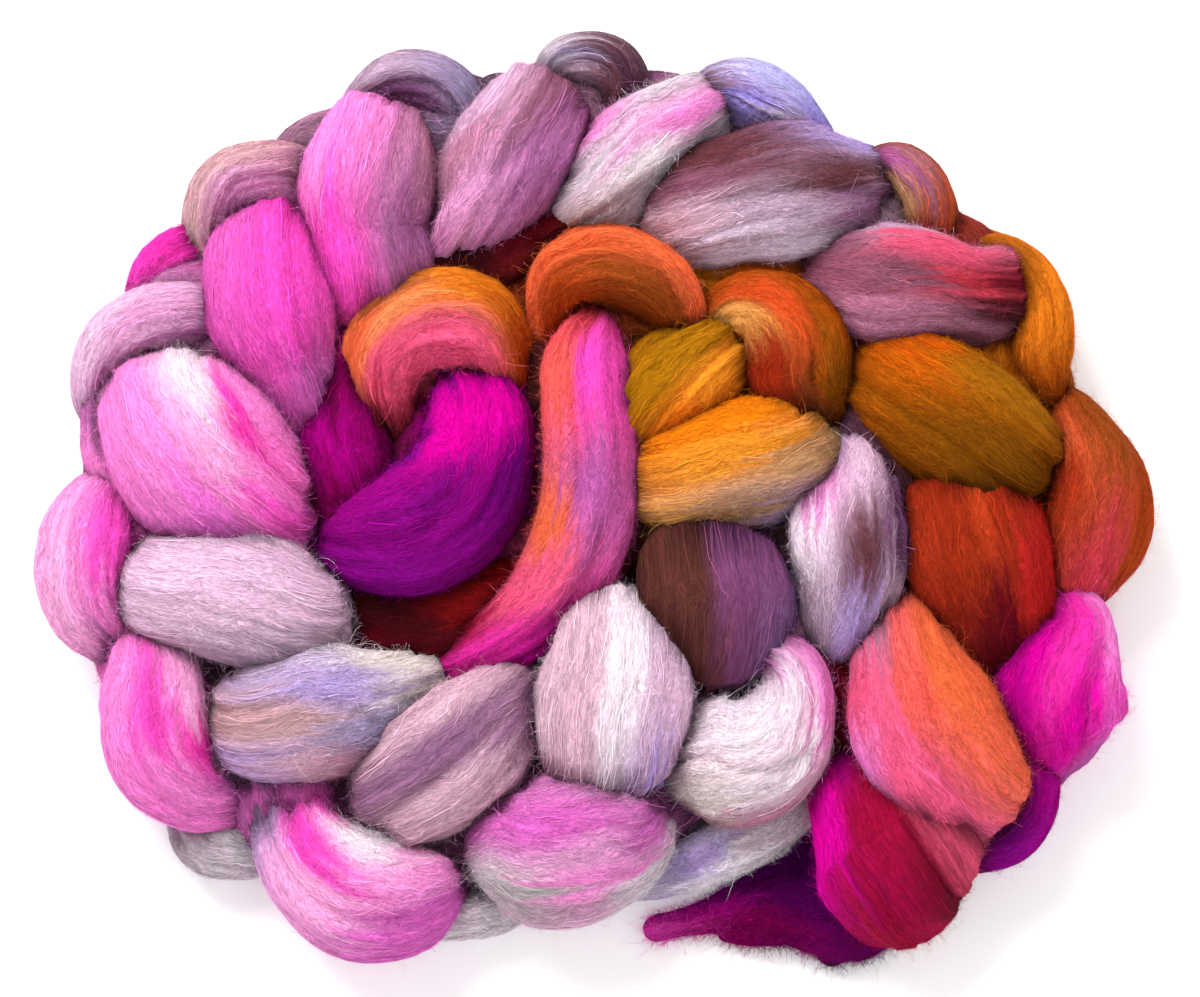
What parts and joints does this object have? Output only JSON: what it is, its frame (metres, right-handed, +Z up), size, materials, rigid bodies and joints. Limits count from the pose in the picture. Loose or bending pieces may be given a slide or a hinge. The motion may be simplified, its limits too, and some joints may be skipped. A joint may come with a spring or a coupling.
{
  "type": "wool roving",
  "caption": "Combed wool top for spinning or felting, hand-dyed in blended pinks, silver, lilac, plum, rust and gold, chain-braided and coiled flat with a loose outer end.",
  "frame": {"origin": "centre of the coil's footprint, on the surface that it lies on", "axes": "+X to the picture's right, along the coil's longest side; +Y towards the picture's top; +Z up through the coil's thickness"},
  "size_m": [0.3352, 0.2845, 0.0613],
  "materials": {
    "dyed_wool": "soft matt combed wool with a faint sheen, hand-dyed in blended colours",
    "purple_wool": "soft matt combed wool, dyed deep purple to magenta, wispy at its edges"
  },
  "bodies": {
    "root": {"braided_coil": "dyed_wool", "loose_end": "purple_wool"}
  },
  "joints": []
}
